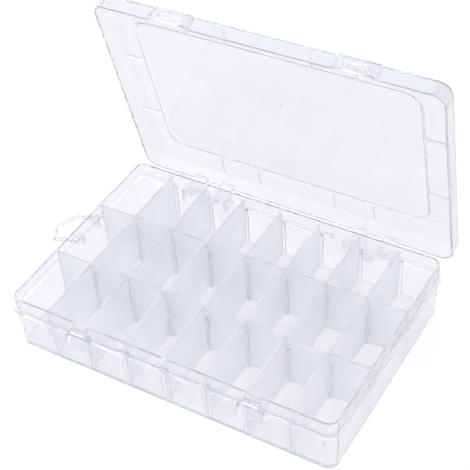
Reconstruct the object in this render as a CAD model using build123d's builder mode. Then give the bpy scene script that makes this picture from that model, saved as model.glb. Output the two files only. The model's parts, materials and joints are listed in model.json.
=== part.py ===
from build123d import *
import os
from math import cos, radians, sin, tan

# A clear organizer box for beads and small parts: a moulded tray with two fixed long walls,
# short dividers that lift out of their slots, a hinged lid with two snap latches, and a
# hanging loop on one end. Millimetres and degrees.
# The origin is the centre of the tray's underside, X runs along the length, Y from the
# latched front to the hinged back, and Z up. The lid stands open and the loop sticks out.

# Overall sizes
box_length = 195.0
box_width = 131.0
ledge_height = 26.5
collar_height = 8.2
rim_radius = 7.5

# Walls and mould draft
wall = 1.3
floor_thickness = 1.5
lid_wall = 1.2
plate_thickness = 1.2
tray_draft = 0.9
lid_draft = 1.0
foot_edge_radius = 0.8
lid_edge_radius = 1.4

# Clearances between pieces
lid_side_gap = 0.45
lid_seat_gap = 0.3
collar_top_gap = 0.5
panel_gap = 0.4
divider_gap = 0.3
hinge_side_gap = 0.3
pin_gap = 0.08
loop_rim_gap = 0.2

# Rim flange around the tray, and the rounding of thin moulded edges
flange_thickness = 1.2
edge_round = 0.4

# Compartments
column_count = 8
middle_row = 42.0
divider_thickness = 1.2
divider_drop = 0.9
divider_corner = 0.8
slot_rib_width = 1.3
slot_rib_depth = 1.5

# Snap latches: a tooth on the collar, a window in the lid and a thumb catch below the rim
latch_spacing = 103.0
window_width = 13.0
window_height = 2.6
window_bar = 1.8
window_gap = 0.3
tooth_width = 9.0
tooth_lip = 1.0
tooth_slope = 0.8
latch_bite = 0.5
bulge_width = 25.0
bulge_depth = 1.6
catch_width = 15.4
catch_depth = 4.0
catch_hood = 5.0
catch_lip = 2.0
catch_gusset = 3.3
catch_wall = 1.1

# Lid hinges: pins between lugs on the tray's back, clasped by two arms each
hinge_spacing = 104.0
pin_radius = 1.2
pin_setback = 3.5
pin_drop = 6.0
lug_wall = 1.0
lug_root = 9.0
middle_lug_width = 8.6
outer_lug_width = 2.0
arm_width = 8.2
arm_eye_wall = 1.2
arm_overlap = 3.0
arm_thickness = 2.0
mouth_grip = 0.4
hinge_notch = 40.0
lid_open_angle = 76.0

# Raised panel and stiffening ribs of the lid
panel_end_margin = 16.5
panel_front_margin = 14.5
panel_back_margin = 18.5
panel_radius = 9.0
lid_rib_width = 1.0
lid_rib_pairs = 2

# Hanging loop on the left end, turning on two pins
loop_centre_y = 8.6
loop_pivot_setback = 1.0
loop_droop_angle = 18.9
loop_half_width = 11.7
loop_bar_half = 2.8
loop_leg = 16.5
loop_reach = 22.5
loop_strap = 2.1
loop_thickness = 1.8
loop_eye_wall = 0.82
loop_pin_radius = 0.9
loop_lug_width = 3.0
loop_lug_root = 6.0
loop_lug_drop = 1.5
loop_notch_gap = 2.0

# How deep an added piece is rooted into the wall that carries it
root = 0.6

# Levels, from the underside up
rim_height = ledge_height + collar_height
flange_bottom = ledge_height - flange_thickness
divider_top = rim_height - divider_drop
divider_bottom = floor_thickness + divider_gap
skirt_bottom = ledge_height + lid_seat_gap
plate_inside = rim_height + collar_top_gap
lid_top = plate_inside + plate_thickness
lid_depth = lid_top - skirt_bottom
panel_step = collar_top_gap + divider_drop - panel_gap

# Plan sizes of the collar, the cavity inside it and the foot
tray_slope = tan(radians(tray_draft))
collar_inset = lid_wall + lid_side_gap
collar_length = box_length - 2 * collar_inset
collar_width = box_width - 2 * collar_inset
collar_radius = rim_radius - collar_inset
cavity_length = collar_length - 2 * wall
cavity_width = collar_width - 2 * wall
cavity_radius = collar_radius - wall
foot_shrink = 2 * ledge_height * tray_slope
cavity_depth = rim_height - floor_thickness
cavity_shrink = 2 * cavity_depth * tray_slope

# Places of the walls inside the tray, in equal columns along the collar
column_pitch = collar_length / column_count
long_wall_y = middle_row / 2 + divider_thickness / 2
divider_xs = [column_pitch * (i + 1 - column_count / 2) for i in range(column_count - 1)]
slot_width = divider_thickness + 2 * divider_gap
rib_offset = slot_width / 2 + slot_rib_width / 2
rib_xs = [x + side * rib_offset for x in divider_xs for side in (-1, 1)]
latch_xs = [-latch_spacing / 2, latch_spacing / 2]
hinge_xs = [-hinge_spacing / 2, hinge_spacing / 2]

# The stepped centre panel of the lid
panel_length = box_length - 2 * panel_end_margin
panel_width = box_width - panel_front_margin - panel_back_margin
panel_shift = (panel_front_margin - panel_back_margin) / 2

# The hinge pins lie behind the rim and just over half the shut height, so that the open lid can
# lie flat behind the tray
pin_y = box_width / 2 + pin_setback
pin_height = ledge_height - pin_drop
lug_radius = pin_radius + lug_wall
arm_radius = pin_radius + pin_gap + arm_eye_wall
arm_mouth = 2 * pin_radius - mouth_grip

# The lid's frame: where a point of the shut lid lies once the lid has swung open
lid_sin = sin(radians(lid_open_angle))
lid_cos = cos(radians(lid_open_angle))
lid_origin = Vector(
    0,
    pin_y * (1 - lid_cos) - pin_height * lid_sin,
    pin_y * lid_sin + pin_height * (1 - lid_cos),
)
lid_plan = Plane(origin=lid_origin, x_dir=(1, 0, 0), z_dir=(0, lid_sin, lid_cos))
lid_side = Plane(origin=lid_origin, x_dir=(0, lid_cos, -lid_sin), z_dir=(1, 0, 0))
lid_up = Axis(lid_origin, (0, lid_sin, lid_cos))

# The loop's frame: its own plane through the pivot, and a side view of the pivot
loop_x = -box_length / 2 - loop_pivot_setback
loop_eye_radius = loop_pin_radius + pin_gap + loop_eye_wall
loop_pivot_height = ledge_height - loop_rim_gap - loop_eye_radius
loop_pivot = Vector(loop_x, loop_centre_y, loop_pivot_height)
droop_sin = sin(radians(loop_droop_angle))
droop_cos = cos(radians(loop_droop_angle))
loop_plan = Plane(origin=loop_pivot, x_dir=(0, 1, 0), z_dir=(-droop_sin, 0, droop_cos))
loop_side = Plane(origin=(0, loop_centre_y, 0), x_dir=(-1, 0, 0), z_dir=(0, 1, 0))
loop_leg_y = loop_half_width - loop_strap / 2
loop_lug_y = loop_half_width - loop_strap - hinge_side_gap - loop_lug_width / 2
loop_pin_reach = loop_half_width - (loop_lug_y - loop_lug_width / 2)

os.makedirs("parts", exist_ok=True)

# Tray: drafted body, collar, rim flange, cavity, long walls, slot ribs, latches and lugs
with BuildPart() as base:
    # The flange starts as a slab, notched where the hinge arms and the loop's legs pass
    with BuildSketch(Plane.XY.offset(flange_bottom)):
        RectangleRounded(box_length, box_width, rim_radius)
    extrude(amount=flange_thickness)
    fillet(base.edges().group_by(Axis.Z)[0] + base.edges().group_by(Axis.Z)[-1], edge_round)
    with BuildSketch(Plane.XY.offset(flange_bottom)):
        with Locations(*[(x, box_width / 2) for x in hinge_xs]):
            Rectangle(hinge_notch, 2 * collar_inset)
        with Locations((-box_length / 2, loop_centre_y)):
            Rectangle(2 * collar_inset, 2 * (loop_half_width + loop_notch_gap))
    extrude(amount=flange_thickness, mode=Mode.SUBTRACT)

    with BuildSketch(Plane.XY):
        RectangleRounded(
            collar_length - foot_shrink,
            collar_width - foot_shrink,
            collar_radius - foot_shrink / 2,
        )
    extrude(amount=ledge_height, taper=-tray_draft)
    fillet(base.edges().group_by(Axis.Z)[0], foot_edge_radius)

    with BuildSketch(Plane.XY.offset(flange_bottom)):
        RectangleRounded(collar_length, collar_width, collar_radius)
    extrude(amount=flange_thickness + collar_height)

    with BuildSketch(Plane.XY.offset(floor_thickness)):
        RectangleRounded(
            cavity_length - cavity_shrink,
            cavity_width - cavity_shrink,
            cavity_radius - cavity_shrink / 2,
        )
    extrude(amount=cavity_depth, taper=-tray_draft, mode=Mode.SUBTRACT)
    fillet(base.edges().group_by(Axis.Z)[-1], edge_round)

    # Two fixed walls along the tray make three rows
    with BuildSketch(Plane.XY.offset(floor_thickness - root)):
        with Locations((0, -long_wall_y), (0, long_wall_y)):
            Rectangle(cavity_length + wall, divider_thickness)
    extrude(amount=divider_top - floor_thickness + root)
    fillet(base.edges(Select.LAST).group_by(Axis.Z)[-1].filter_by(Axis.X), edge_round)

    # Pairs of ribs on the outer walls and through the long walls guide the short dividers
    outer_rib_y = (cavity_width + wall) / 2 - (wall / 2 + slot_rib_depth) / 2
    with BuildSketch(Plane.XY.offset(floor_thickness - root)):
        with Locations(*[(x, side * outer_rib_y) for x in rib_xs for side in (-1, 1)]):
            Rectangle(slot_rib_width, wall / 2 + slot_rib_depth)
        with Locations(*[(x, side * long_wall_y) for x in rib_xs for side in (-1, 1)]):
            Rectangle(slot_rib_width, divider_thickness + 2 * slot_rib_depth)
    extrude(amount=ledge_height - floor_thickness + root)

    # Latch teeth stand out of the collar, with a slope that spreads the lid as it shuts
    collar_front = -collar_width / 2
    tooth_tip = -(box_width / 2 - lid_wall + bulge_depth + latch_bite)
    tooth_bottom = skirt_bottom + window_bar + window_gap
    for x in latch_xs:
        with BuildSketch(Plane.YZ.offset(x)):
            with BuildLine():
                Polyline(
                    (collar_front + root, tooth_bottom),
                    (tooth_tip, tooth_bottom),
                    (tooth_tip, tooth_bottom + tooth_lip),
                    (collar_front + root, tooth_bottom + tooth_lip + tooth_slope),
                    close=True,
                )
            make_face()
        extrude(amount=tooth_width / 2, both=True)

    # Thumb catches hang below the rim: a sloped hood with a lip and gussets, hollow from underneath
    rim_front = -box_width / 2
    catch_front = collar_front - catch_depth
    lip_top = ledge_height - catch_hood
    catch_bottom = lip_top - catch_lip
    hood_lean = (rim_front - catch_front) / catch_hood
    hollow_front = catch_front + catch_wall
    hollow_top = rim_front - flange_thickness * hood_lean + catch_wall
    for x in latch_xs:
        with BuildSketch(Plane.YZ.offset(x)):
            with BuildLine():
                Polyline(
                    (collar_front + root, ledge_height),
                    (rim_front, ledge_height),
                    (catch_front, lip_top),
                    (catch_front, catch_bottom),
                    (collar_front + root, catch_bottom + catch_gusset),
                    close=True,
                )
            make_face()
        extrude(amount=catch_width / 2, both=True)
        with BuildSketch(Plane.YZ.offset(x)):
            with BuildLine():
                Polyline(
                    (collar_front, flange_bottom),
                    (hollow_top, flange_bottom),
                    (hollow_front, lip_top),
                    (hollow_front, catch_bottom),
                    (collar_front, catch_bottom),
                    close=True,
                )
            make_face()
        extrude(amount=catch_width / 2 - catch_wall, both=True, mode=Mode.SUBTRACT)

    # Hinge lugs and pins on the back
    lug_offset = middle_lug_width / 2 + 2 * hinge_side_gap + arm_width + outer_lug_width / 2
    lug_wall_y = collar_width / 2 - root
    for x in hinge_xs:
        for lug_x, lug_width in [
            (x - lug_offset, outer_lug_width),
            (x, middle_lug_width),
            (x + lug_offset, outer_lug_width),
        ]:
            with BuildSketch(Plane.YZ.offset(lug_x)):
                with Locations((pin_y, pin_height)):
                    Circle(lug_radius)
                with Locations((lug_wall_y, pin_height)):
                    Rectangle(root, lug_root)
                make_hull()
            extrude(amount=lug_width / 2, both=True)
        with BuildSketch(Plane.YZ.offset(x)):
            with Locations((pin_y, pin_height)):
                Circle(pin_radius)
        extrude(amount=lug_offset, both=True)

    # Loop lugs and pins on the left end
    for side in (-1, 1):
        with BuildSketch(loop_side.offset(side * loop_lug_y)):
            with Locations((-loop_x, loop_pivot_height)):
                Circle(loop_eye_radius)
            with Locations((collar_length / 2 - root, loop_pivot_height - loop_lug_drop)):
                Rectangle(root, loop_lug_root)
            make_hull()
        extrude(amount=loop_lug_width / 2, both=True)
        with BuildSketch(loop_side.offset(side * (loop_lug_y - loop_lug_width / 2))):
            with Locations((-loop_x, loop_pivot_height)):
                Circle(loop_pin_radius)
        extrude(amount=side * loop_pin_reach)

base.part.label = "base"
export_step(base.part, "parts/base.step")

# Lid: drafted skirt and plate, sunk centre panel, ribs, latch bulges and hinge arms
with BuildPart() as lid:
    with BuildSketch(lid_plan.offset(skirt_bottom)):
        RectangleRounded(box_length, box_width, rim_radius)
    extrude(amount=lid_depth, taper=lid_draft)
    fillet(lid.edges().group_by(lid_up)[-1], lid_edge_radius)
    with BuildSketch(lid_plan.offset(skirt_bottom)):
        RectangleRounded(box_length - 2 * lid_wall, box_width - 2 * lid_wall, rim_radius - lid_wall)
    extrude(amount=lid_depth - plate_thickness, taper=lid_draft, mode=Mode.SUBTRACT)
    fillet(lid.edges().group_by(lid_up)[0], edge_round)

    # Latch bulges clear the teeth on the collar
    front = -box_width / 2
    bulge_front = front - bulge_depth
    for x in latch_xs:
        with BuildSketch(lid_plan.offset(skirt_bottom)):
            with BuildLine():
                Polyline(
                    (x - bulge_width / 2, front + lid_wall),
                    (x - bulge_width / 2, front),
                    (x - bulge_width / 2 + bulge_depth, bulge_front),
                    (x + bulge_width / 2 - bulge_depth, bulge_front),
                    (x + bulge_width / 2, front),
                    (x + bulge_width / 2, front + lid_wall),
                    close=True,
                )
            make_face()
        extrude(amount=lid_depth - lid_edge_radius)
        pocket_half = bulge_width / 2 - lid_wall
        with BuildSketch(lid_plan.offset(skirt_bottom)):
            with BuildLine():
                Polyline(
                    (x - pocket_half, front + 2 * lid_wall),
                    (x - pocket_half, front + lid_wall),
                    (x - pocket_half + bulge_depth, bulge_front + lid_wall),
                    (x + pocket_half - bulge_depth, bulge_front + lid_wall),
                    (x + pocket_half, front + lid_wall),
                    (x + pocket_half, front + 2 * lid_wall),
                    close=True,
                )
            make_face()
        extrude(amount=lid_depth - plate_thickness - lid_edge_radius, mode=Mode.SUBTRACT)
        with BuildSketch(lid_plan.offset(skirt_bottom + window_bar)):
            with Locations((x, bulge_front)):
                Rectangle(window_width, 2 * (lid_wall + window_gap))
        extrude(amount=window_height, mode=Mode.SUBTRACT)

    # The centre panel is stepped down outside and stands out inside
    with BuildSketch(lid_plan.offset(plate_inside)):
        with Locations((0, panel_shift)):
            RectangleRounded(
                panel_length + 2 * lid_wall, panel_width + 2 * lid_wall, panel_radius + lid_wall
            )
    extrude(amount=-panel_step)
    fillet(lid.edges(Select.LAST).group_by(lid_up)[0], edge_round)
    with BuildSketch(lid_plan.offset(lid_top)):
        with Locations((0, panel_shift)):
            RectangleRounded(panel_length, panel_width, panel_radius)
    extrude(amount=-panel_step, mode=Mode.SUBTRACT)
    fillet(lid.edges(Select.LAST).group_by(lid_up)[-1], edge_round)

    # Ribs in the margins line up with the walls below, but none lies on the middle divider
    rib_steps = range(1, lid_rib_pairs + 1)
    lid_rib_xs = [side * step * column_pitch for side in (-1, 1) for step in rib_steps]
    rib_end_x = cavity_length / 2 - lid_rib_width
    rib_end_y = cavity_width / 2 - lid_rib_width
    panel_back = panel_shift + panel_width / 2
    panel_front = panel_shift - panel_width / 2
    side_rib = rib_end_x - panel_length / 2
    back_rib = rib_end_y - panel_back
    front_rib = rib_end_y + panel_front
    with BuildSketch(lid_plan.offset(plate_inside)):
        with GridLocations(2 * rib_end_x - side_rib, 2 * long_wall_y, 2, 2):
            Rectangle(side_rib, lid_rib_width)
        with Locations(*[(x, rib_end_y - back_rib / 2) for x in lid_rib_xs]):
            Rectangle(lid_rib_width, back_rib)
        with Locations(*[(x, front_rib / 2 - rib_end_y) for x in lid_rib_xs]):
            Rectangle(lid_rib_width, front_rib)
    extrude(amount=-panel_step)

    # Arms reach down from the back of the skirt and clasp the pins
    arm_offset = middle_lug_width / 2 + hinge_side_gap + arm_width / 2
    arm_top = skirt_bottom + arm_overlap
    arm_y = box_width / 2 - lid_wall + arm_thickness / 2
    for x in [hinge_x + side * arm_offset for hinge_x in hinge_xs for side in (-1, 1)]:
        with BuildSketch(lid_side.offset(x)):
            with Locations((pin_y, pin_height)):
                Circle(arm_radius)
            with Locations((arm_y, arm_top - arm_overlap / 2)):
                Rectangle(arm_thickness, arm_overlap)
            make_hull()
            with Locations((pin_y, pin_height)):
                Circle(pin_radius + pin_gap, mode=Mode.SUBTRACT)
            with Locations((pin_y, pin_height - arm_radius)):
                Rectangle(arm_mouth, 2 * arm_radius, mode=Mode.SUBTRACT)
        extrude(amount=arm_width / 2, both=True)

lid.part.label = "lid"
export_step(lid.part, "parts/lid.step")

# Hanging loop: a flat strap with an eye at each end
with BuildPart() as hanging_loop:
    strap_half = loop_strap / 2
    with BuildSketch(loop_plan):
        with BuildLine() as strap_line:
            Polyline(
                (loop_leg_y, 0),
                (loop_leg_y, loop_leg),
                (loop_bar_half, loop_reach - strap_half),
                (-loop_bar_half, loop_reach - strap_half),
                (-loop_leg_y, loop_leg),
                (-loop_leg_y, 0),
            )
            fillet(strap_line.vertices().sort_by(loop_plan.location.y_axis)[2:], loop_strap)
        trace(line_width=loop_strap)
    extrude(amount=loop_thickness / 2, both=True)
    for side in (-1, 1):
        with BuildSketch(loop_side.offset(side * loop_leg_y)):
            with Locations((-loop_x, loop_pivot_height)):
                Circle(loop_eye_radius)
        extrude(amount=strap_half, both=True)
        with BuildSketch(loop_side.offset(side * loop_leg_y)):
            with Locations((-loop_x, loop_pivot_height)):
                Circle(loop_pin_radius + pin_gap)
        extrude(amount=loop_strap, both=True, mode=Mode.SUBTRACT)

hanging_loop.part.label = "hanging_loop"
export_step(hanging_loop.part, "parts/hanging_loop.step")

# Short dividers: thin plates whose outer edge follows the drafted wall
wall_y_top = cavity_width / 2 - divider_drop * tray_slope - divider_gap
wall_y_bottom = cavity_width / 2 - (rim_height - divider_bottom) * tray_slope - divider_gap
row_inner_y = long_wall_y + divider_thickness / 2 + divider_gap
row_middle_y = middle_row / 2 - divider_gap

row_profiles = {
    "front": [
        (-wall_y_bottom, divider_bottom),
        (-row_inner_y, divider_bottom),
        (-row_inner_y, divider_top),
        (-wall_y_top, divider_top),
    ],
    "middle": [
        (-row_middle_y, divider_bottom),
        (row_middle_y, divider_bottom),
        (row_middle_y, divider_top),
        (-row_middle_y, divider_top),
    ],
    "back": [
        (row_inner_y, divider_bottom),
        (wall_y_bottom, divider_bottom),
        (wall_y_top, divider_top),
        (row_inner_y, divider_top),
    ],
}

for row, profile in row_profiles.items():
    for number, x in enumerate(divider_xs, start=1):
        with BuildPart() as divider:
            with BuildSketch(Plane.YZ.offset(x)) as outline:
                with BuildLine():
                    Polyline(*profile, close=True)
                make_face()
                chamfer(outline.vertices().group_by(Axis.Z)[0], divider_corner)
            extrude(amount=divider_thickness / 2, both=True)
            fillet(divider.edges().group_by(Axis.Z)[-1].filter_by(Axis.Y), edge_round)
        divider.part.label = f"divider_{row}_{number}"
        export_step(divider.part, f"parts/divider_{row}_{number}.step")
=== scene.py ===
# %% [markdown]
# # A clear organizer box
# The box is moulded from clear plastic: a tray with two fixed long walls, short dividers that lift
# out, a hinged snap lid and a small hanging loop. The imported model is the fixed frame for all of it.
# Every piece below is made again as a smooth mesh with the soft edges of a moulding, in the place of
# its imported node, and rides on the same body. Clear plastic shows every join between two meshes that
# overlap, so each moulding ends as one closed mesh.

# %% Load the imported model
import json
import math

import bmesh
import bpy
from mathutils import Matrix, Vector
from mathutils.geometry import convex_hull_2d


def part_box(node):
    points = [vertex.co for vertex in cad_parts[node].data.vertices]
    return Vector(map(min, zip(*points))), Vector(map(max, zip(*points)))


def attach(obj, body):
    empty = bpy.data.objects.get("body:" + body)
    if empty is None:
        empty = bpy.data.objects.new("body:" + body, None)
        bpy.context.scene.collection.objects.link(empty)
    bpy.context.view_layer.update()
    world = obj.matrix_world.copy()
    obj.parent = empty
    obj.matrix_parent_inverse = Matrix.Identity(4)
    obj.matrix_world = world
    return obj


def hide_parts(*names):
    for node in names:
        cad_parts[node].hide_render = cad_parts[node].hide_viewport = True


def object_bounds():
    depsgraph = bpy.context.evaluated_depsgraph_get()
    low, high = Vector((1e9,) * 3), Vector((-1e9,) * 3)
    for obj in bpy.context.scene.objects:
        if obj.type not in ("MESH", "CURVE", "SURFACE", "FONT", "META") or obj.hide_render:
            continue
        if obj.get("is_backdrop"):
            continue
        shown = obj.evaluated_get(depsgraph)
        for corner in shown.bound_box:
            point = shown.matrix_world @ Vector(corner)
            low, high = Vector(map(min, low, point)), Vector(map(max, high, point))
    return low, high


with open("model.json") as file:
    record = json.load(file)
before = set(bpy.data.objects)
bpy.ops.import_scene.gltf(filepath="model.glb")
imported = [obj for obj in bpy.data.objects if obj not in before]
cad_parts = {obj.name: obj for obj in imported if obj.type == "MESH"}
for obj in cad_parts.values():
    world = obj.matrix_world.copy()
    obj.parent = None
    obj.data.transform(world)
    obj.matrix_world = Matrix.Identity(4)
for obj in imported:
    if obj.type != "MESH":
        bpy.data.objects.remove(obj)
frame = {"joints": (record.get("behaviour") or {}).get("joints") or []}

scene = bpy.context.scene
cad_low, cad_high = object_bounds()
joints = {joint["name"]: joint for joint in frame["joints"]}
print("size of the packed model", [round(v, 4) for v in cad_high - cad_low])

# %% [markdown]
# ## Sizes
# The sizes are those of the real box, in metres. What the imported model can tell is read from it: the
# length, the rim, the dividers and the axes of the hinge and the loop. The rest is given here, because
# a node's box can't tell a wall, a gap or a rounding, and the catches and lugs reach past the tray's
# width. Sizes that only one piece needs stand beside it.

# %% Outline and walls
MM = 0.001

tray_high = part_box("base")[1]
box_length = 2 * tray_high.x
box_width = 131 * MM
rim_height = tray_high.z
ledge_height = 26.5 * MM
rim_radius = 7.5 * MM

wall = 1.3 * MM
floor_thickness = 1.5 * MM
lid_wall = 1.2 * MM
plate_thickness = 1.2 * MM
flange_thickness = 1.2 * MM
tray_slope = math.tan(math.radians(0.9))
lid_slope = math.tan(math.radians(1.0))
print("outline", round(box_length, 4), round(box_width, 4), "rim", round(rim_height, 4))

# %% Roundings and clearances
edge_round = 0.4 * MM
small_round = 0.15 * MM
foot_round = 0.8 * MM
floor_round = 0.8 * MM
root_round = 0.3 * MM
lid_edge_round = 1.41 * MM

lid_side_gap = 0.45 * MM
lid_seat_gap = 0.3 * MM
collar_top_gap = 0.5 * MM
divider_gap = 0.3 * MM
hinge_side_gap = 0.3 * MM
pin_gap = 0.08 * MM
print("smallest rounding", small_round, "smallest clearance", pin_gap)

# %% Collar, cavity and shut lid
collar_inset = lid_wall + lid_side_gap
collar_length = box_length - 2 * collar_inset
collar_width = box_width - 2 * collar_inset
collar_radius = rim_radius - collar_inset
cavity_width = collar_width - 2 * wall
skirt_bottom = ledge_height + lid_seat_gap
plate_inside = rim_height + collar_top_gap
lid_top = plate_inside + plate_thickness
print("collar", round(collar_length, 4), round(collar_width, 4), "shut height", round(lid_top, 4))

# %% Rows, columns and joint axes
middle_row = 42 * MM
columns = 8
column_pitch = collar_length / columns
blade = 1.2 * MM
long_wall_y = middle_row / 2 + blade / 2
rib_width = 1.3 * MM
rib_depth = 1.5 * MM
rib_step = blade / 2 + divider_gap + rib_width / 2

latch_xs = (-51.5 * MM, 51.5 * MM)
hinge_xs = (-52 * MM, 52 * MM)
pin = Vector(joints["lid_hinge"]["pos_m"])
lid_open_angle = math.radians(-joints["lid_hinge"]["range_deg"][0])
pivot = Vector(joints["loop_swivel"]["pos_m"])
print("column pitch", round(column_pitch, 4), "hinge pin", tuple(round(v, 4) for v in pin))

# %% [markdown]
# ## Helpers for moulded shapes
# A moulded tray or lid is a shell whose section stays the same all the way round, so it is lofted: a
# list of section points, each a distance out from the rim's outline and a height, becomes a stack of
# rounded rectangles with faces between them. Straight features are prisms of a flat outline. A
# spun or extruded primitive would be quicker, but it has no draft and no soft edges.

# %% Outlines
CORNER_STEPS = 12
ARC_STEPS = 4
CIRCLE_STEPS = 24
FINE_CIRCLE_STEPS = 32


def arc(out, height, radius, start, end, steps=ARC_STEPS):
    """Section points on an arc round (out, height), from one angle in degrees to another."""
    turns = [math.radians(start + (end - start) * step / steps) for step in range(steps + 1)]
    return [(out + radius * math.cos(turn), height + radius * math.sin(turn)) for turn in turns]


def rounded_loop(length, width, radius, height, shift=0.0):
    """A rounded rectangle of points at one height, its middle shifted along Y."""
    points = []
    for quarter, (side_x, side_y) in enumerate([(1, 1), (-1, 1), (-1, -1), (1, -1)]):
        for step in range(CORNER_STEPS + 1):
            turn = math.radians(90 * (quarter + step / CORNER_STEPS))
            x = side_x * (length / 2 - radius) + radius * math.cos(turn)
            y = side_y * (width / 2 - radius) + radius * math.sin(turn) + shift
            points.append(Vector((x, y, height)))
    return points


def section_loops(length, width, radius, section, shift=0.0):
    """One rounded rectangle for each (out, height) point of a section."""
    return [
        rounded_loop(length + 2 * out, width + 2 * out, radius + out, height, shift)
        for out, height in section]


print("points in a loop", 4 * (CORNER_STEPS + 1))


# %% Closed meshes from loops
BEVEL_FROM, BEVEL_STEPS = math.radians(40), 2


def mesh_object(name, bm):
    """Puts a bmesh in the scene as a closed object at the origin, with its faces outwards."""
    bmesh.ops.recalc_face_normals(bm, faces=bm.faces)
    mesh = bpy.data.meshes.new(name)
    bm.to_mesh(mesh)
    bm.free()
    made = bpy.data.objects.new(name, mesh)
    scene.collection.objects.link(made)
    return made


def add_loft(bm, loops):
    """Adds the faces between neighbouring loops and caps the first and last loop."""
    rings = [[bm.verts.new(point) for point in loop] for loop in loops]
    for ring, after in zip(rings, rings[1:]):
        for i in range(len(ring)):
            j = (i + 1) % len(ring)
            bm.faces.new((ring[i], ring[j], after[j], after[i]))
    bm.faces.new(rings[0])
    bm.faces.new(rings[-1])


def loft(name, loops):
    bm = bmesh.new()
    add_loft(bm, loops)
    return mesh_object(name, bm)


def prisms(name, outline, axis, spans, soften=small_round):
    """Prisms of one flat outline, one for each (low, high) span along an axis, with soft edges."""
    place = {
        "X": lambda u, v, w: Vector((w, u, v)),
        "Y": lambda u, v, w: Vector((u, w, v)),
        "Z": lambda u, v, w: Vector((u, v, w)),
    }[axis]
    bm = bmesh.new()
    for low, high in spans:
        add_loft(bm, [[place(u, v, w) for u, v in outline] for w in (low, high)])
    if soften:
        sharp = [edge for edge in bm.edges if edge.calc_face_angle(0) > BEVEL_FROM]
        bmesh.ops.bevel(bm, geom=sharp, offset=soften, segments=BEVEL_STEPS, profile=0.5, affect="EDGES")
    return mesh_object(name, bm)


def circle(u, v, radius, steps=CIRCLE_STEPS):
    turns = [math.tau * step / steps for step in range(steps)]
    return [(u + radius * math.cos(turn), v + radius * math.sin(turn)) for turn in turns]


def rectangle(low_u, low_v, high_u, high_v):
    return [(low_u, low_v), (high_u, low_v), (high_u, high_v), (low_u, high_v)]


def hull(points):
    """The outline that a tight string round the points would have."""
    return [points[i] for i in convex_hull_2d(points)]


# %% [markdown]
# ## Joining and cutting
# The mould makes walls, ribs and lugs in one piece. In clear plastic a rib that is only pushed into
# its wall shows the wall inside it, so each feature is joined by a boolean, which leaves one outer skin.
# The result is read back as a plain mesh, and the feature that was joined or cut away is removed.

# %% Boolean helper and reports
def combine(piece, feature, how="UNION"):
    """Joins a feature to a piece, or cuts it away, for good."""
    boolean = piece.modifiers.new("mould", "BOOLEAN")
    boolean.operation = how
    boolean.solver = "MANIFOLD"
    boolean.object = feature
    bpy.context.view_layer.update()
    made = bpy.data.meshes.new_from_object(piece.evaluated_get(bpy.context.evaluated_depsgraph_get()))
    piece.modifiers.clear()
    old, piece.data = piece.data, made
    made.name = piece.name
    bpy.data.meshes.remove(old)
    bpy.data.meshes.remove(feature.data)
    return piece


def report(piece):
    """Prints how many faces a piece has, its volume and whether it is closed."""
    bm = bmesh.new()
    bm.from_mesh(piece.data)
    open_edges = sum(not edge.is_manifold for edge in bm.edges)
    cubic_cm = bm.calc_volume() / (10 * MM) ** 3
    print(f"{piece.name}: {len(bm.faces)} faces, {cubic_cm:.2f} cm3, open edges {open_edges}")
    bm.free()


def compare_with_node(piece, node):
    """Prints how far a piece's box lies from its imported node's box, in millimetres."""
    low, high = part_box(node)
    points = [vertex.co for vertex in piece.data.vertices]
    off = [min(p[axis] for p in points) - low[axis] for axis in range(3)]
    off += [max(p[axis] for p in points) - high[axis] for axis in range(3)]
    print(piece.name, "against", node, "mm", [round(v / MM, 3) for v in off])


# %% [markdown]
# ## The tray's shell
# One section runs from the underside, round the foot, up the drafted wall, out and back round the rim
# flange, up the collar that the lid closes over, and down inside to the floor. The floor meets the
# wall in a small fillet, as it does in every mould, and that fillet catches light.

# %% Tray shell
def outer_wall(height):
    return -(ledge_height - height) * tray_slope


def inner_wall(height):
    return -wall - (rim_height - height) * tray_slope


flange_bottom = ledge_height - flange_thickness
rim_round_out = inner_wall(rim_height - edge_round) + edge_round
floor_round_out = inner_wall(floor_thickness + floor_round) - floor_round
tray_section = [
    *arc(outer_wall(foot_round) - foot_round, foot_round, foot_round, -90, 0),
    (outer_wall(flange_bottom), flange_bottom),
    *arc(collar_inset - edge_round, flange_bottom + edge_round, edge_round, -90, 0),
    *arc(collar_inset - edge_round, ledge_height - edge_round, edge_round, 0, 90),
    *arc(root_round, ledge_height + root_round, root_round, 270, 180),
    *arc(-edge_round, rim_height - edge_round, edge_round, 0, 90),
    *arc(rim_round_out, rim_height - edge_round, edge_round, 90, 180),
    *arc(floor_round_out, floor_thickness + floor_round, floor_round, 0, -90),
]
tray = loft("tray_shell", section_loops(collar_length, collar_width, collar_radius, tray_section))
report(tray)

# %% Notches in the flange, for the hinge arms and the loop
hinge_notch = 20 * MM
loop_notch = 13.7 * MM
cut_start = 0.02 * MM
cut_low, cut_high = flange_bottom - foot_round, ledge_height + root_round
for x in hinge_xs:
    outline = rectangle(x - hinge_notch, collar_width / 2 + cut_start, x + hinge_notch, box_width)
    combine(tray, prisms("notch", outline, "Z", [(cut_low, cut_high)], soften=0), "DIFFERENCE")
outline = rectangle(-box_length, pivot.y - loop_notch, -collar_length / 2 - cut_start, pivot.y + loop_notch)
combine(tray, prisms("notch", outline, "Z", [(cut_low, cut_high)], soften=0), "DIFFERENCE")
report(tray)

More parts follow.
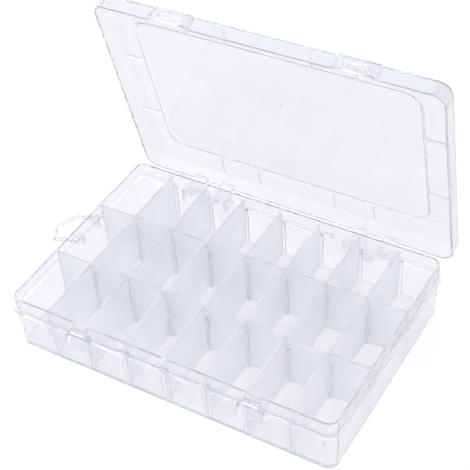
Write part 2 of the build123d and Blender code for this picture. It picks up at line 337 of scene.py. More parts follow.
# %% Fixed long walls, with round tops
long_wall_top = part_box("divider_middle_4")[1].z
half_blade = blade / 2
round_top = [
    *arc(half_blade - edge_round, long_wall_top - edge_round, edge_round, 0, 90),
    *arc(edge_round - half_blade, long_wall_top - edge_round, edge_round, 90, 180),
]
wall_foot = floor_thickness / 2
wall_end = collar_length / 2 - wall / 2
wall_outline = [(half_blade, wall_foot), *round_top, (-half_blade, wall_foot)]
for side in (-1, 1):
    outline = [(side * long_wall_y + u, v) for u, v in wall_outline]
    combine(tray, prisms("long_wall", outline, "X", [(-wall_end, wall_end)], soften=0))
report(tray)

# %% [markdown]
# ## Ribs that repeat
# Fifty-six thin ribs stand in pairs and guide the ends of the short dividers, and the lid has shorter
# bars of the same kind. They differ in size and spacing but follow one rule, so one node tree draws
# them all: a rounded section swept up a short line, set out in pairs, and the pairs in a row.
# Geometry Nodes keeps each size as a named input, where copied meshes would each need a new one.

# %% Small builder for node trees
def tree_with_inputs(name, inputs):
    """A node tree with geometry in and out, and a named input for each size."""
    tree = bpy.data.node_groups.new(name, "GeometryNodeTree")
    tree.interface.new_socket("Geometry", in_out="OUTPUT", socket_type="NodeSocketGeometry")
    tree.interface.new_socket("Path", in_out="INPUT", socket_type="NodeSocketGeometry")
    sockets = {}
    for label, kind in inputs.items():
        sockets[label] = tree.interface.new_socket(label, in_out="INPUT", socket_type=f"NodeSocket{kind}")
    entry = tree.nodes.new("NodeGroupInput")
    return tree, entry, {label: socket.identifier for label, socket in sockets.items()}


def add_node(tree, kind, links=None, **settings):
    """Adds a node, sets its properties, and fills its inputs with values or with other nodes' outputs."""
    node = tree.nodes.new(kind)
    for key, value in settings.items():
        setattr(node, key, value)
    for key, value in (links or {}).items():
        if isinstance(value, bpy.types.NodeSocket):
            tree.links.new(value, node.inputs[key])
        else:
            node.inputs[key].default_value = value
    return node


def combine_xyz(tree, x=0.0, y=0.0, z=0.0):
    return add_node(tree, "ShaderNodeCombineXYZ", {"X": x, "Y": y, "Z": z}).outputs[0]


def end_tree(tree, geometry, finish):
    """Ends a tree: instances become a real mesh, which takes a finish."""
    real = add_node(tree, "GeometryNodeRealizeInstances", {"Geometry": geometry})
    clad = add_node(tree, "GeometryNodeSetMaterial", {"Geometry": real.outputs[0], "Material": finish})
    add_node(tree, "NodeGroupOutput", {"Geometry": clad.outputs[0]})
    print(tree.name, len(tree.nodes), "nodes")


def grown(name, tree, identifiers, values, path=()):
    """The plain mesh that a node tree makes from named values, and from a path if it follows one."""
    start = bpy.data.meshes.new(name)
    start.from_pydata(path, [(i, i + 1) for i in range(len(path) - 1)], [])
    host = bpy.data.objects.new(name, start)
    scene.collection.objects.link(host)
    modifier = host.modifiers.new(tree.name, "NODES")
    modifier.node_group = tree
    for label, value in values.items():
        modifier[identifiers[label]] = value
    bpy.context.view_layer.update()
    mesh = bpy.data.meshes.new_from_object(host.evaluated_get(bpy.context.evaluated_depsgraph_get()))
    bpy.data.meshes.remove(host.data)
    made = bpy.data.objects.new(name, mesh)
    made.data.name = name
    scene.collection.objects.link(made)
    return made


# %% Tree that sets out ribs
RIB_ROUND_STEPS = 2
rib_inputs = {
    "Size X": "Float", "Size Y": "Float", "Round": "Float", "Low": "Float", "High": "Float",
    "Count": "Int", "Pitch": "Float", "Pair Count": "Int", "Pair Step": "Float",
    "Row Count": "Int", "Row Step": "Float", "Row Middle": "Float", "Material": "Material",
}
rib_tree, entry, rib_ids = tree_with_inputs("rib_rows", rib_inputs)
given = entry.outputs
section = add_node(rib_tree, "GeometryNodeCurvePrimitiveQuadrilateral",
                   {"Width": given["Size X"], "Height": given["Size Y"]})
soft = add_node(rib_tree, "GeometryNodeFilletCurve", {
    "Curve": section.outputs[0], "Count": RIB_ROUND_STEPS, "Radius": given["Round"],
}, mode="POLY")
line = add_node(rib_tree, "GeometryNodeCurvePrimitiveLine", {
    "Start": combine_xyz(rib_tree, z=given["Low"]), "End": combine_xyz(rib_tree, z=given["High"]),
})
rib = add_node(rib_tree, "GeometryNodeCurveToMesh",
               {"Curve": line.outputs[0], "Profile Curve": soft.outputs[0], "Fill Caps": True})
pair_size = add_node(rib_tree, "ShaderNodeMath", {0: given["Pair Step"], 1: 2.0}, operation="MULTIPLY")
row_size = add_node(rib_tree, "ShaderNodeMath", {0: given["Row Step"], 1: 2.0}, operation="MULTIPLY")
pairs = add_node(rib_tree, "GeometryNodeMeshGrid", {
    "Size X": pair_size.outputs[0], "Size Y": row_size.outputs[0],
    "Vertices X": given["Pair Count"], "Vertices Y": given["Row Count"],
})
group = add_node(rib_tree, "GeometryNodeInstanceOnPoints",
                 {"Points": pairs.outputs[0], "Instance": rib.outputs[0]})
gaps = add_node(rib_tree, "ShaderNodeMath", {0: given["Count"], 1: 1.0}, operation="SUBTRACT")
reach = add_node(rib_tree, "ShaderNodeMath", {0: gaps.outputs[0], 1: given["Pitch"]}, operation="MULTIPLY")
first = add_node(rib_tree, "ShaderNodeMath", {0: reach.outputs[0], 1: -0.5}, operation="MULTIPLY")
places = add_node(rib_tree, "GeometryNodeMeshLine", {
    "Count": given["Count"],
    "Start Location": combine_xyz(rib_tree, x=first.outputs[0], y=given["Row Middle"]),
    "Offset": combine_xyz(rib_tree, x=given["Pitch"]),
}, mode="OFFSET")
rows = add_node(rib_tree, "GeometryNodeInstanceOnPoints",
                {"Points": places.outputs[0], "Instance": group.outputs[0]})
end_tree(rib_tree, rows.outputs[0], given["Material"])


# %% Slot ribs of the tray
def ribs(name, size, low, high, count=1, pair=0.0, row=0.0, middle=0.0):
    """Upright bars of one size, in pairs and rows, with count places a column apart."""
    return grown(name, rib_tree, rib_ids, {
        "Size X": size[0], "Size Y": size[1], "Round": small_round, "Low": low, "High": high,
        "Count": count, "Pitch": column_pitch, "Pair Count": 2 if pair else 1, "Pair Step": pair,
        "Row Count": 2 if row else 1, "Row Step": row, "Row Middle": middle,
    })


dividers_in_row = columns - 1
outer_rib = wall / 2 + rib_depth
outer_rib_y = cavity_width / 2 + wall / 2 - outer_rib / 2
wall_rib = blade + 2 * rib_depth
for length, row_y in [(outer_rib, outer_rib_y), (wall_rib, long_wall_y)]:
    size = (rib_width, length)
    made = ribs("slot_ribs", size, wall_foot, ledge_height, dividers_in_row, pair=rib_step, row=row_y)
    combine(tray, made)
report(tray)

# %% [markdown]
# ## Latches, catches and lugs of the tray
# On the front collar stand two teeth with a slope on top, which snap into windows in the lid. Below
# each hangs a hood with a lip, hollow from underneath, to press a thumb against. At the back the pins
# of the hinge sit between lugs, and two smaller pins on the left end carry the loop. All of these are
# prisms of a flat outline, drawn from the side, with the small radius that a tool leaves on every edge.

# %% Latch teeth
collar_front = -collar_width / 2
window_width, window_height = 13 * MM, 2.6 * MM
window_bar, window_gap = 1.8 * MM, 0.3 * MM
bulge_width, bulge_depth = 25 * MM, 1.6 * MM
latch_bite = 0.5 * MM
tooth_tip = -(box_width / 2 - lid_wall + bulge_depth + latch_bite)
tooth_low = skirt_bottom + window_bar + window_gap
tooth_lip, tooth_slope = 1.0 * MM, 0.8 * MM
in_wall = 0.6 * MM
tooth_outline = [
    (collar_front + in_wall, tooth_low),
    (tooth_tip, tooth_low),
    (tooth_tip, tooth_low + tooth_lip),
    (collar_front + in_wall, tooth_low + tooth_lip + tooth_slope),
]
tooth_half = 4.5 * MM
combine(tray, prisms("teeth", tooth_outline, "X", [(x - tooth_half, x + tooth_half) for x in latch_xs]))
report(tray)

# %% Thumb catches below the rim
catch_half, catch_depth, catch_wall = 7.7 * MM, 4.0 * MM, 1.1 * MM
catch_hood, catch_lip, catch_gusset = 5.0 * MM, 2.0 * MM, 3.3 * MM
catch_round = 0.25 * MM
rim_front, catch_front = -box_width / 2, collar_front - catch_depth
lip_top = ledge_height - catch_hood
catch_low = lip_top - catch_lip
catch_outline = [
    (collar_front + in_wall, ledge_height),
    (rim_front, ledge_height),
    (catch_front, lip_top),
    (catch_front, catch_low),
    (collar_front + in_wall, catch_low + catch_gusset),
]
catch_spans = [(x - catch_half, x + catch_half) for x in latch_xs]
combine(tray, prisms("catches", catch_outline, "X", catch_spans, soften=catch_round))
hood_lean = (catch_front - rim_front) / catch_hood
hollow = [
    (collar_front, flange_bottom),
    (rim_front + flange_thickness * hood_lean + catch_wall, flange_bottom),
    (catch_front + catch_wall, lip_top),
    (catch_front + catch_wall, catch_low - in_wall),
    (collar_front, catch_low - in_wall),
]
hollow_spans = [(low + catch_wall, high - catch_wall) for low, high in catch_spans]
combine(tray, prisms("hollows", hollow, "X", hollow_spans, soften=0), "DIFFERENCE")
report(tray)

# %% Hinge lugs and their pins
pin_radius, lug_radius = 1.2 * MM, 2.2 * MM
lug_root_half = 4.5 * MM
middle_lug, outer_lug, arm_width = 8.6 * MM, 2.0 * MM, 8.2 * MM
lug_offset = middle_lug / 2 + 2 * hinge_side_gap + arm_width + outer_lug / 2
lug_wall_y = collar_width / 2 - in_wall
half_root = in_wall / 2
lug_foot = rectangle(
    lug_wall_y - half_root, pin.z - lug_root_half, lug_wall_y + half_root, pin.z + lug_root_half)
lug_outline = hull(circle(pin.y, pin.z, lug_radius) + lug_foot)
lug_spans = []
for x in hinge_xs:
    lug_spans.append((x - middle_lug / 2, x + middle_lug / 2))
    for side in (-1, 1):
        lug_spans.append((x + side * lug_offset - outer_lug / 2, x + side * lug_offset + outer_lug / 2))
combine(tray, prisms("hinge_lugs", lug_outline, "X", lug_spans))
pin_spans = [(x - lug_offset, x + lug_offset) for x in hinge_xs]
combine(tray, prisms("hinge_pins", circle(pin.y, pin.z, pin_radius), "X", pin_spans, soften=0))
report(tray)

# %% Loop lugs and their pins
loop_half_width, loop_strap = 11.7 * MM, 2.1 * MM
loop_pin_radius, loop_eye_radius = 0.9 * MM, 1.8 * MM
loop_lug, loop_lug_half, loop_lug_drop = 3.0 * MM, 3.0 * MM, 1.5 * MM
loop_lug_start = loop_half_width - loop_strap - hinge_side_gap - loop_lug
lug_wall_x = in_wall - collar_length / 2
loop_foot = rectangle(
    lug_wall_x - half_root, pivot.z - loop_lug_drop - loop_lug_half,
    lug_wall_x + half_root, pivot.z - loop_lug_drop + loop_lug_half)
loop_lug_outline = hull(circle(pivot.x, pivot.z, loop_eye_radius) + loop_foot)
near, far = pivot.y - loop_lug_start, pivot.y + loop_lug_start
combine(tray, prisms("loop_lugs", loop_lug_outline, "Y", [(near - loop_lug, near), (far, far + loop_lug)]))
pin_spans = [(pivot.y - loop_half_width, near), (far, pivot.y + loop_half_width)]
combine(tray, prisms("loop_pins", circle(pivot.x, pivot.z, loop_pin_radius), "Y", pin_spans))
report(tray)

# %% Mark where the plastic was let into the tray's mould
gate_round = 0.05 * MM
tray_gate_x, tray_gate_height, tray_gate_radius = 90.4 * MM, 19.5 * MM, 0.7 * MM
tray_gate_stand = 0.3 * MM
gate_mark = circle(tray_gate_x, tray_gate_height, tray_gate_radius)
gate_span = (collar_front - tray_gate_stand, collar_front + in_wall)
combine(tray, prisms("gate_mark", gate_mark, "Y", [gate_span], soften=gate_round))
report(tray)
compare_with_node(tray, "base")

# %% [markdown]
# ## The lid
# The lid is drawn shut, where its heights are simple, and swung open about the hinge pin when it is
# whole. Its section runs from the sunk panel out over the margin, round the soft top edge, down the skirt
# and back up inside, to the same panel standing out below. The panel's outline has its own length,
# width and corner, but each loop has the same number of points, so one stack of loops can hold both.

# %% Lid shell
panel_side, panel_front, panel_back = 16.5 * MM, 14.5 * MM, 18.5 * MM
panel_length = box_length - 2 * panel_side
panel_width = box_width - panel_front - panel_back
panel_shift = (panel_front - panel_back) / 2
panel_radius, panel_step = 9 * MM, 1.0 * MM
small_fillet, inner_fillet = 0.25 * MM, 0.5 * MM
LID_EDGE_STEPS = 6


def skirt(height, inset=0.0):
    return -inset - (height - skirt_bottom) * lid_slope


panel_floor, panel_under = lid_top - panel_step, plate_inside - panel_step
recess_section = [
    *arc(-small_fillet, panel_floor + small_fillet, small_fillet, 270, 360),
    *arc(edge_round, lid_top - edge_round, edge_round, 180, 90),
]
lid_edge_height = lid_top - lid_edge_round
lid_edge_out = skirt(lid_edge_height) - lid_edge_round
skirt_section = [
    *arc(lid_edge_out, lid_edge_height, lid_edge_round, 90, 0, steps=LID_EDGE_STEPS),
    *arc(-edge_round, skirt_bottom + edge_round, edge_round, 0, -90),
    *arc(edge_round - lid_wall, skirt_bottom + edge_round, edge_round, 270, 180),
    *arc(skirt(plate_inside, lid_wall) - inner_fillet, plate_inside - inner_fillet, inner_fillet, 0, 90),
]
raised_section = [
    *arc(lid_wall + small_fillet, plate_inside - small_fillet, small_fillet, 90, 180),
    *arc(lid_wall - edge_round, panel_under + edge_round, edge_round, 0, -90),
]
lid = loft("lid_shell", [
    *section_loops(panel_length, panel_width, panel_radius, recess_section, panel_shift),
    *section_loops(box_length, box_width, rim_radius, skirt_section),
    *section_loops(panel_length, panel_width, panel_radius, raised_section, panel_shift),
])
report(lid)

# %% Latch bulges with their windows
front = -box_width / 2
bulge_front = front - bulge_depth


def bump(x, half, root, base, tip):
    """A flat-topped bump of the skirt, whose sides slant by the bulge's depth."""
    return [
        (x - half, root), (x - half, base), (x - half + bulge_depth, tip),
        (x + half - bulge_depth, tip), (x + half, base), (x + half, root),
    ]


bulge_half = bulge_width / 2
pocket_half = bulge_half - lid_wall
pocket_span = (skirt_bottom - lid_wall, plate_inside - lid_edge_round)
window_low = skirt_bottom + window_bar
window_span = (window_low, window_low + window_height)
for x in latch_xs:
    bulge = bump(x, bulge_half, front + lid_wall / 2, front, bulge_front)
    combine(lid, prisms("bulge", bulge, "Z", [(skirt_bottom, lid_edge_height)], soften=small_fillet))
    pocket = bump(x, pocket_half, front + 2 * lid_wall, front + lid_wall, bulge_front + lid_wall)
    combine(lid, prisms("pocket", pocket, "Z", [pocket_span], soften=0), "DIFFERENCE")
    window = rectangle(
        x - window_width / 2, bulge_front - lid_wall,
        x + window_width / 2, bulge_front + lid_wall + window_gap)
    combine(lid, prisms("window", window, "Z", [window_span], soften=0), "DIFFERENCE")
report(lid)

# %% Ribs in the lid's margins
cavity_length = collar_length - 2 * wall
lid_rib = 1.0 * MM
rib_end_x, rib_end_y = cavity_length / 2 - lid_rib, cavity_width / 2 - lid_rib
side_rib = rib_end_x - panel_length / 2
back_rib = rib_end_y - panel_shift - panel_width / 2
front_rib = rib_end_y + panel_shift - panel_width / 2
rib_low, rib_high = panel_under, plate_inside + plate_thickness / 2
side_rib_x = rib_end_x - side_rib / 2
combine(lid, ribs("side_ribs", (side_rib, lid_rib), rib_low, rib_high, pair=side_rib_x, row=long_wall_y))
margin_places, margin_step = 2, 1.5 * column_pitch
for length, middle in [(back_rib, rib_end_y - back_rib / 2), (front_rib, front_rib / 2 - rib_end_y)]:
    size = (lid_rib, length)
    made = ribs("margin_ribs", size, rib_low, rib_high, margin_places, pair=margin_step, middle=middle)
    combine(lid, made)
report(lid)

# %% Hinge arms that clasp the pins
arm_wall, arm_root_height, arm_root_depth, mouth_bite = 1.2 * MM, 3 * MM, 2 * MM, 0.2 * MM
bore_radius = pin_radius + pin_gap
arm_radius = bore_radius + arm_wall
arm_start = box_width / 2 - lid_wall
arm_root = rectangle(arm_start, skirt_bottom, arm_start + arm_root_depth, skirt_bottom + arm_root_height)
arm_outline = hull(circle(pin.y, pin.z, arm_radius, FINE_CIRCLE_STEPS) + arm_root)
arm_offset = middle_lug / 2 + hinge_side_gap + arm_width / 2
arm_xs = [x + side * arm_offset for x in hinge_xs for side in (-1, 1)]
arm_spans = [(x - arm_width / 2, x + arm_width / 2) for x in arm_xs]
through = [(low - pin_radius, high + pin_radius) for low, high in arm_spans]
arms = prisms("hinge_arms", arm_outline, "X", arm_spans)
combine(arms, prisms("bores", circle(pin.y, pin.z, bore_radius), "X", through, soften=0), "DIFFERENCE")
mouth_half = pin_radius - mouth_bite
mouth = rectangle(pin.y - mouth_half, pin.z - 2 * arm_radius, pin.y + mouth_half, pin.z)
combine(arms, prisms("mouths", mouth, "X", through, soften=0), "DIFFERENCE")
combine(lid, arms)
report(lid)

# %% Mark where the plastic was let into the lid's mould
lid_gate_x, lid_gate_y, lid_gate_radius = 1.7 * MM, -15.6 * MM, 0.8 * MM
lid_gate_stand = 0.4 * MM
gate_mark = circle(lid_gate_x, lid_gate_y, lid_gate_radius)
gate_span = (panel_under, panel_floor + lid_gate_stand)
combine(lid, prisms("gate_mark", gate_mark, "Z", [gate_span], soften=gate_round))
report(lid)

# %% Swing the lid open about its pin
swing = Matrix.Translation(pin) @ Matrix.Rotation(-lid_open_angle, 4, "X") @ Matrix.Translation(-pin)
lid.data.transform(swing)
compare_with_node(lid, "lid")

# %% [markdown]
# ## The hanging loop
# The loop is one flat strap that runs down a leg, across the end and back up, with an eye at each end.
# A strap that follows a path is what Curve to Mesh is for: the path's corners are rounded with Fillet
# Curve, and a rounded section is swept along it. The eyes are joined on and bored for the pins.

# %% Tree that sweeps a strap
STRAP_ROUND_STEPS, BEND_STEPS = 4, 8
strap_tree, entry, strap_ids = tree_with_inputs("strap_along_path", {
    "Width": "Float", "Thickness": "Float", "Edge Round": "Float", "Bend Radius": "Float",
    "Material": "Material",
})
given = entry.outputs
route = add_node(strap_tree, "GeometryNodeMeshToCurve", {"Mesh": given["Path"]})
bent = add_node(strap_tree, "GeometryNodeFilletCurve", {
    "Curve": route.outputs[0], "Count": BEND_STEPS, "Radius": given["Bend Radius"], "Limit Radius": True,
}, mode="POLY")
level = add_node(strap_tree, "GeometryNodeSetCurveNormal", {"Curve": bent.outputs[0]}, mode="Z_UP")
section = add_node(strap_tree, "GeometryNodeCurvePrimitiveQuadrilateral",
                   {"Width": given["Width"], "Height": given["Thickness"]})
soft = add_node(strap_tree, "GeometryNodeFilletCurve", {
    "Curve": section.outputs[0], "Count": STRAP_ROUND_STEPS, "Radius": given["Edge Round"],
}, mode="POLY")
swept = add_node(strap_tree, "GeometryNodeCurveToMesh",
                 {"Curve": level.outputs[0], "Profile Curve": soft.outputs[0], "Fill Caps": True})
end_tree(strap_tree, swept.outputs[0], given["Material"])

# %% Strap of the loop
loop_leg, loop_reach, loop_bar_half, loop_thickness = 16.5 * MM, 22.5 * MM, 2.8 * MM, 1.8 * MM
half_strap = loop_strap / 2
leg_x = loop_half_width - half_strap
bend = [(leg_x, 0), (leg_x, loop_leg), (loop_bar_half, loop_reach - half_strap)]
path = [(u, v, 0) for u, v in bend + [(-u, v) for u, v in reversed(bend)]]
loop = grown("loop_strap", strap_tree, strap_ids, {
    "Width": loop_strap, "Thickness": loop_thickness, "Edge Round": edge_round, "Bend Radius": loop_strap,
}, path)
report(loop)

# %% Loop hung on its pins, with its two eyes
droop = math.radians(18.9)
along_y, outward = Vector((0, 1, 0)), Vector((-math.cos(droop), 0, -math.sin(droop)))
upright = along_y.cross(outward)
hang = Matrix((along_y, outward, upright)).transposed().to_4x4()
hang.translation = pivot
loop.data.transform(hang)
eye_middles = [pivot.y + side * leg_x for side in (-1, 1)]
eye_spans = [(middle - half_strap, middle + half_strap) for middle in eye_middles]
loop_eye = circle(pivot.x, pivot.z, loop_eye_radius, FINE_CIRCLE_STEPS)
combine(loop, prisms("eyes", loop_eye, "Y", eye_spans))
bore_spans = [(low - loop_strap, high + loop_strap) for low, high in eye_spans]
loop_bore = circle(pivot.x, pivot.z, loop_pin_radius + pin_gap)
combine(loop, prisms("bores", loop_bore, "Y", bore_spans, soften=0), "DIFFERENCE")
report(loop)
compare_with_node(loop, "hanging_loop")

# %% [markdown]
# ## The short dividers
# Twenty-one thin blades drop into the slots, seven in each row. The blades of the two outer rows have
# one leaning edge, which follows the drafted wall. A node tree draws the outline from its four
# corners, rounds them and gives the blade its thickness, and a Bevel modifier rounds the edges. A cube
# with a Bevel would do for the middle row, but it can't lean.

# %% Tree that draws a blade
BLADE_CORNER_STEPS = 2
blade_tree, entry, blade_ids = tree_with_inputs("divider_blade", {
    "Corner 1": "Vector", "Corner 2": "Vector", "Corner 3": "Vector", "Corner 4": "Vector",
    "Corner Round": "Float", "Thickness": "Float", "Middle X": "Float", "Material": "Material",
})
given = entry.outputs
outline = add_node(blade_tree, "GeometryNodeCurvePrimitiveQuadrilateral", {
    f"Point {number}": given[f"Corner {number}"] for number in (1, 2, 3, 4)
}, mode="POINTS")
soft = add_node(blade_tree, "GeometryNodeFilletCurve", {
    "Curve": outline.outputs[0], "Count": BLADE_CORNER_STEPS, "Radius": given["Corner Round"],
}, mode="POLY")
half = add_node(blade_tree, "ShaderNodeMath", {0: given["Thickness"], 1: 0.5}, operation="MULTIPLY")
minus = add_node(blade_tree, "ShaderNodeMath", {0: given["Thickness"], 1: -0.5}, operation="MULTIPLY")
line = add_node(blade_tree, "GeometryNodeCurvePrimitiveLine", {
    "Start": combine_xyz(blade_tree, z=minus.outputs[0]), "End": combine_xyz(blade_tree, z=half.outputs[0]),
})
plate = add_node(blade_tree, "GeometryNodeCurveToMesh",
                 {"Curve": line.outputs[0], "Profile Curve": soft.outputs[0], "Fill Caps": True})
turned = add_node(blade_tree, "GeometryNodeTransform", {
    "Geometry": plate.outputs[0], "Translation": combine_xyz(blade_tree, x=given["Middle X"]),
    "Rotation": (math.pi / 2, 0, math.pi / 2),
})
end_tree(blade_tree, turned.outputs[0], given["Material"])

# %% Blades in their slots
blade_corner, blade_edge, BLADE_EDGE_STEPS = 0.8 * MM, 0.35 * MM, 3
blades = {}
for row, lean in [("front", -1), ("middle", 0), ("back", 1)]:
    for number in range(1, dividers_in_row + 1):
        node = f"divider_{row}_{number}"
        low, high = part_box(node)
        rise = (high.z - low.z) * tray_slope
        at_foot = [low.y + rise * (lean < 0), high.y - rise * (lean > 0)]
        made = grown(f"blade_{row}_{number}", blade_tree, blade_ids, {
            "Corner 1": (at_foot[0], low.z, 0), "Corner 2": (at_foot[1], low.z, 0),
            "Corner 3": (high.y, high.z, 0), "Corner 4": (low.y, high.z, 0),
            "Corner Round": blade_corner, "Thickness": blade, "Middle X": (low.x + high.x) / 2,
        })
        rounding = made.modifiers.new("edge_round", "BEVEL")
        rounding.width, rounding.segments, rounding.limit_method = blade_edge, BLADE_EDGE_STEPS, "ANGLE"
        blades[node] = made
report(blades["divider_back_1"])
compare_with_node(blades["divider_back_1"], "divider_back_1")
compare_with_node(blades["divider_front_7"], "divider_front_7")

# %% [markdown]
# ## The plastic
# All of it is one clear, slightly milky plastic. Light goes through and bends, and a little of it is
# scattered on the way, more in the dividers than in the lid. A glass shader alone looks like
# polished crystal, and a plain transparent one has no thick edges. So the finish mixes a bending,
# tinted body with a share of milk that scatters light forwards and back, and a little absorption
# inside greys the light that goes a long way through a wall. Noise on the object's own coordinates
# varies the milk as the flow in the mould does, clouds the gloss with fine wear, and gives the faint
# waves that a moulded sheet has.

# %% Noise, and how its range is used
NOISE_LOW, NOISE_HIGH = 0.3, 0.7


def noise(tree, place, scale, detail, roughness=0.5):
    return add_node(tree, "ShaderNodeTexNoise", {
        "Vector": place, "Scale": scale, "Detail": detail, "Roughness": roughness,
    }).outputs[0]


def spread(tree, source, low, high):
    """Maps the middle of a noise's range onto low to high."""
    return add_node(tree, "ShaderNodeMapRange", {
        "Value": source, "From Min": NOISE_LOW, "From Max": NOISE_HIGH, "To Min": low, "To Max": high,
    }).outputs["Result"]


# %% Finish of moulded plastic
FLOW_SCALE, WEAR_SCALE, WAVE_SCALE = 14.0, 420.0, 55.0
VARIES = 0.15
WAVE_STRENGTH, WAVE_DEPTH = 0.005, 0.4 * MM
PLASTIC_BEND = 1.49
FORWARD_SHARE = 0.5
DEPTH_DENSITY = 4.0
depth_tint = (0.62, 0.66, 0.78)
milk_tint = (0.965, 0.97, 0.985)
pale_milk_tint = tuple((1 + value) / 2 for value in milk_tint)


def moulded_plastic(name, milk, gloss, tint, bend=PLASTIC_BEND):
    """Clear plastic with a share of milk, a roughness, a tint of its skin and waves in it."""
    finish = bpy.data.materials.new(name)
    finish.use_nodes = True
    tree = finish.node_tree
    tree.nodes.clear()
    place = add_node(tree, "ShaderNodeTexCoord").outputs["Object"]
    flow = noise(tree, place, FLOW_SCALE, detail=3.0)
    wear = noise(tree, place, WEAR_SCALE, detail=4.0, roughness=0.65)
    waves = noise(tree, place, WAVE_SCALE, detail=1.0, roughness=0.4)
    skin = add_node(tree, "ShaderNodeBump", {
        "Height": waves, "Strength": WAVE_STRENGTH, "Distance": WAVE_DEPTH,
    })
    body = add_node(tree, "ShaderNodeBsdfPrincipled", {
        "Base Color": (*tint, 1.0), "IOR": bend, "Transmission Weight": 1.0, "Normal": skin.outputs[0],
        "Roughness": spread(tree, wear, (1 - VARIES) * gloss, (1 + VARIES) * gloss),
    })
    # Input 0 of the mix is the share, and 6 and 7 are its two colours
    tones = add_node(tree, "ShaderNodeMix", {
        0: spread(tree, flow, 0.0, 1.0), 6: (*milk_tint, 1.0), 7: (*pale_milk_tint, 1.0),
    }, data_type="RGBA").outputs[2]
    back = add_node(tree, "ShaderNodeBsdfDiffuse", {"Color": tones})
    forward = add_node(tree, "ShaderNodeBsdfTranslucent", {"Color": tones})
    scatter = add_node(tree, "ShaderNodeMixShader", {
        0: FORWARD_SHARE, 1: back.outputs[0], 2: forward.outputs[0],
    })
    share = spread(tree, flow, (1 - VARIES) * milk, (1 + VARIES) * milk)
    mixed = add_node(tree, "ShaderNodeMixShader", {0: share, 1: body.outputs[0], 2: scatter.outputs[0]})
    inside = add_node(tree, "ShaderNodeVolumeAbsorption", {
        "Color": (*depth_tint, 1.0), "Density": DEPTH_DENSITY,
    })
    add_node(tree, "ShaderNodeOutputMaterial", {"Surface": mixed.outputs[0], "Volume": inside.outputs[0]})
    return finish


# %% Five finishes
lid_plastic = moulded_plastic("lid_plastic", milk=0.15, gloss=0.07, tint=(0.925, 0.93, 0.955))
tray_plastic = moulded_plastic("tray_plastic", milk=0.15, gloss=0.09, tint=(0.965, 0.968, 0.98))
wall_plastic = moulded_plastic("wall_plastic", milk=0.40, gloss=0.12, tint=(0.985, 0.987, 0.995))
blade_plastic = moulded_plastic("blade_plastic", milk=0.45, gloss=0.14, tint=(0.975, 0.977, 0.99))
matt_plastic = moulded_plastic("matt_plastic", milk=0.25, gloss=0.30, tint=(0.99, 0.992, 1.0), bend=1.2)
finishes = (lid_plastic, tray_plastic, wall_plastic, blade_plastic, matt_plastic)
print("finishes", [finish.name for finish in finishes])

# %% [markdown]
# ## Dressing the pieces
# Faces are shaded smooth except across sharp edges, and Weighted Normal keeps the big flat faces flat, so
# that the light turns only on the rounded edges. Each piece then stands for its imported node, rides
# on the same body and takes its finish.

# %% Smooth, finish and hand each piece to its body
SHARP_FROM = math.radians(50)
FLAT_FACE_WEIGHT = 100
pieces = [
    (tray, "base", "tray", "clear_tray", tray_plastic),
    (lid, "lid", "lid", "clear_lid", lid_plastic),
    (loop, "hanging_loop", "loop", "clear_loop", tray_plastic),
    *[(made, node, node, "divider_plastic", blade_plastic) for node, made in blades.items()],
]
for piece, node, body, slot, finish in pieces:
    mesh = piece.data
    mesh.shade_smooth()
    mesh.set_sharp_from_angle(angle=SHARP_FROM)
    mesh.materials.clear()
    mesh.materials.append(finish)
    flats = piece.modifiers.new("flat_faces", "WEIGHTED_NORMAL")
    flats.mode, flats.weight, flats.keep_sharp = "FACE_AREA", FLAT_FACE_WEIGHT, True
    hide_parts(node)
    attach(piece, body)
print("pieces", len(pieces))

# %% [markdown]
# ## Milkier and matt places
# The floor and the two long walls look milkier than the rest, like the short dividers. The small parts
# of the hinge and the loop's lugs have a matt skin, which also bends light less, so they show as faint,
# soft shapes through the clear walls. Separate pieces for them would show their joins, so chosen
# faces of the one moulding get a second or third finish.

# %% Finishes by place
wall_reach = blade / 2 + rib_depth + small_round
floor_reach = floor_thickness + floor_round
arm_reach = 6.5 * MM


def in_floor_or_long_wall(centre):
    inside = abs(centre.x) < collar_length / 2 - wall
    beside = abs(abs(centre.y) - long_wall_y) < wall_reach
    return inside and beside or centre.z < floor_reach


def in_lug_or_pin(centre):
    behind, left = centre.y > collar_width / 2 + cut_start, centre.x < -collar_length / 2 - cut_start
    in_hinge_notch = abs(abs(centre.x) - hinge_xs[1]) < hinge_notch
    in_loop_notch = abs(centre.y - pivot.y) < loop_notch
    return behind and in_hinge_notch or left and in_loop_notch


def in_hinge_arm(centre):
    return math.hypot(centre.y - pin.y, centre.z - pin.z) < arm_reach


def finish_places(piece, finish, chosen):
    """Gives another finish to the faces whose middle a test chooses."""
    piece.data.materials.append(finish)
    faces = [face for face in piece.data.polygons if chosen(face.center)]
    for face in faces:
        face.material_index = len(piece.data.materials) - 1
    print(piece.name, finish.name, "on", len(faces), "of", len(piece.data.polygons), "faces")


finish_places(tray, wall_plastic, in_floor_or_long_wall)
finish_places(tray, matt_plastic, in_lug_or_pin)
finish_places(lid, matt_plastic, in_hinge_arm)

# %% [markdown]
# ## Table, light and camera
# The photograph shows the box on a white table in soft light from all round. Most of the table's white
# is a glow of its own, like that of a lit table, so it stays white under the box and lights the walls
# from below. A bright, slightly blue surround lights the plastic from all sides, and two large lamps
# draw white lines on the rounded edges.

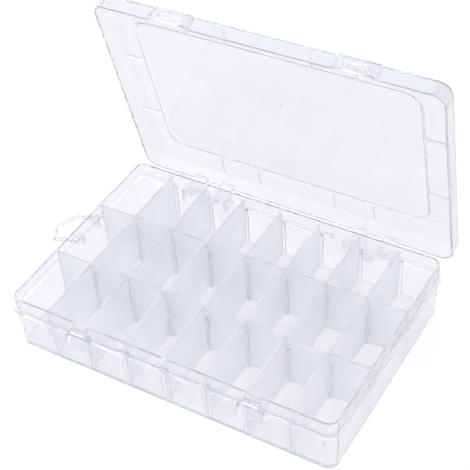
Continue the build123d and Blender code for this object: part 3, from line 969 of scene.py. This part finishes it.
# %% White table
table_half, table_drop = 3.0, -0.5 * MM
paper_low, paper_high, mottle_scale = 0.10, 0.13, 9.0
glow_tone = (0.90, 0.90, 0.92, 1.0)
corners = [(-1, -1), (1, -1), (1, 1), (-1, 1)]
table_points = [(table_half * x, table_half * y, table_drop) for x, y in corners]
table_mesh = bpy.data.meshes.new("white_table")
table_mesh.from_pydata(table_points, [], [(0, 1, 2, 3)])
table = bpy.data.objects.new("white_table", table_mesh)
scene.collection.objects.link(table)
table_white = bpy.data.materials.new("table_white")
table_white.use_nodes = True
tree = table_white.node_tree
tree.nodes.clear()
mottle = noise(tree, add_node(tree, "ShaderNodeTexCoord").outputs["Object"], mottle_scale, detail=2.0)
paper = add_node(tree, "ShaderNodeBsdfDiffuse")
tree.links.new(spread(tree, mottle, paper_low, paper_high), paper.inputs["Color"])
glow = add_node(tree, "ShaderNodeEmission", {"Color": glow_tone, "Strength": 1.0})
both = add_node(tree, "ShaderNodeAddShader", {0: paper.outputs[0], 1: glow.outputs[0]})
add_node(tree, "ShaderNodeOutputMaterial", {"Surface": both.outputs[0]})
table_mesh.materials.append(table_white)
table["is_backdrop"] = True
print("table", 2 * table_half, "m wide, glow", glow_tone[:3])

# %% Surround
low_tone, high_tone = (0.74, 0.75, 0.80, 1.0), (0.82, 0.83, 0.875, 1.0)
high_from = 0.9
surround = bpy.data.worlds.new("light_tent")
surround.use_nodes = True
tree = surround.node_tree
sky = tree.nodes["Background"]
direction = add_node(tree, "ShaderNodeTexCoord").outputs["Generated"]
upness = add_node(tree, "ShaderNodeSeparateXYZ", {0: direction}).outputs["Z"]
height_share = add_node(tree, "ShaderNodeMapRange", {
    "Value": upness, "From Min": 0.0, "From Max": high_from,
})
tent = add_node(tree, "ShaderNodeMix", {
    0: height_share.outputs[0], 6: low_tone, 7: high_tone,
}, data_type="RGBA")
tree.links.new(tent.outputs[2], sky.inputs["Color"])
sky.inputs["Strength"].default_value = 1.0
scene.world = surround
print("surround", low_tone[:3], "up to", high_tone[:3])

# %% Lamps
lamp_aim = Vector((0, 0, 0.03))


def soft_lamp(name, place, size, power):
    """A square soft lamp that faces the box."""
    lamp = bpy.data.lights.new(name, "AREA")
    lamp.size, lamp.energy = size, power
    made = bpy.data.objects.new(name, lamp)
    scene.collection.objects.link(made)
    turn = (Vector(place) - lamp_aim).to_track_quat("Z", "Y")
    made.matrix_world = Matrix.Translation(place) @ turn.to_matrix().to_4x4()
    print(name, "size", size, "m, power", power, "W")


soft_lamp("lamp_left", place=(-0.8, -0.6, 1.3), size=1.2, power=6)
soft_lamp("lamp_behind", place=(-0.67, 0.92, 1.12), size=1.0, power=3)

# %% Camera at the photograph's place
IMAGE_SIZE = 470
SENSOR_WIDTH = 36
azimuth, elevation, roll = (math.radians(value) for value in (36.275, 44.526, -6.606))
camera_place = (0.254753, -0.387647, 0.479060)
focal_pixels, centre_column, centre_row = 1212.135, 182.174, 299.035
level = math.cos(elevation)
back = Vector((math.sin(azimuth) * level, -math.cos(azimuth) * level, math.sin(elevation)))
right = Vector((math.cos(azimuth), math.sin(azimuth), 0))
up = back.cross(right)
frame_right = math.cos(roll) * right + math.sin(roll) * up
frame_up = math.cos(roll) * up - math.sin(roll) * right
turn = Matrix((frame_right, frame_up, back)).transposed().to_4x4()
camera = bpy.data.objects.new("camera", bpy.data.cameras.new("camera"))
scene.collection.objects.link(camera)
camera.matrix_world = Matrix.Translation(camera_place) @ turn
camera.data.sensor_width = SENSOR_WIDTH
camera.data.lens = focal_pixels / IMAGE_SIZE * SENSOR_WIDTH
camera.data.shift_x = (IMAGE_SIZE / 2 - centre_column) / IMAGE_SIZE
camera.data.shift_y = (centre_row - IMAGE_SIZE / 2) / IMAGE_SIZE
camera.data.clip_start = 10 * MM
scene.camera = camera
shift = round(camera.data.shift_x, 3), round(camera.data.shift_y, 3)
print("lens", round(camera.data.lens, 1), "mm, shift", shift)

# %% [markdown]
# ## How far light is followed
# Clear walls stand one behind another here, so a ray passes many faces before it leaves the box. With
# the usual few bounces it would end inside and leave a dark patch, so the limits are high. Blurring of
# glossy light is off, because it fades the fine lines on the edges. The Standard view keeps the white
# table white, where a film-like one would grey it.

# %% Light paths and colours
CLEAR_BOUNCES, GLOSSY_BOUNCES, DULL_BOUNCES = 48, 32, 16
scene.view_settings.view_transform = "Standard"
scene.cycles.max_bounces = CLEAR_BOUNCES
scene.cycles.transmission_bounces = CLEAR_BOUNCES
scene.cycles.glossy_bounces = GLOSSY_BOUNCES
scene.cycles.transparent_max_bounces = GLOSSY_BOUNCES
scene.cycles.diffuse_bounces = DULL_BOUNCES
scene.cycles.blur_glossy = 0.0
print("bounces", scene.cycles.max_bounces)

low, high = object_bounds()
off = (*(low - cad_low), *(high - cad_high))
print("visual box against the packed box, mm", [round(value / MM, 3) for value in off])
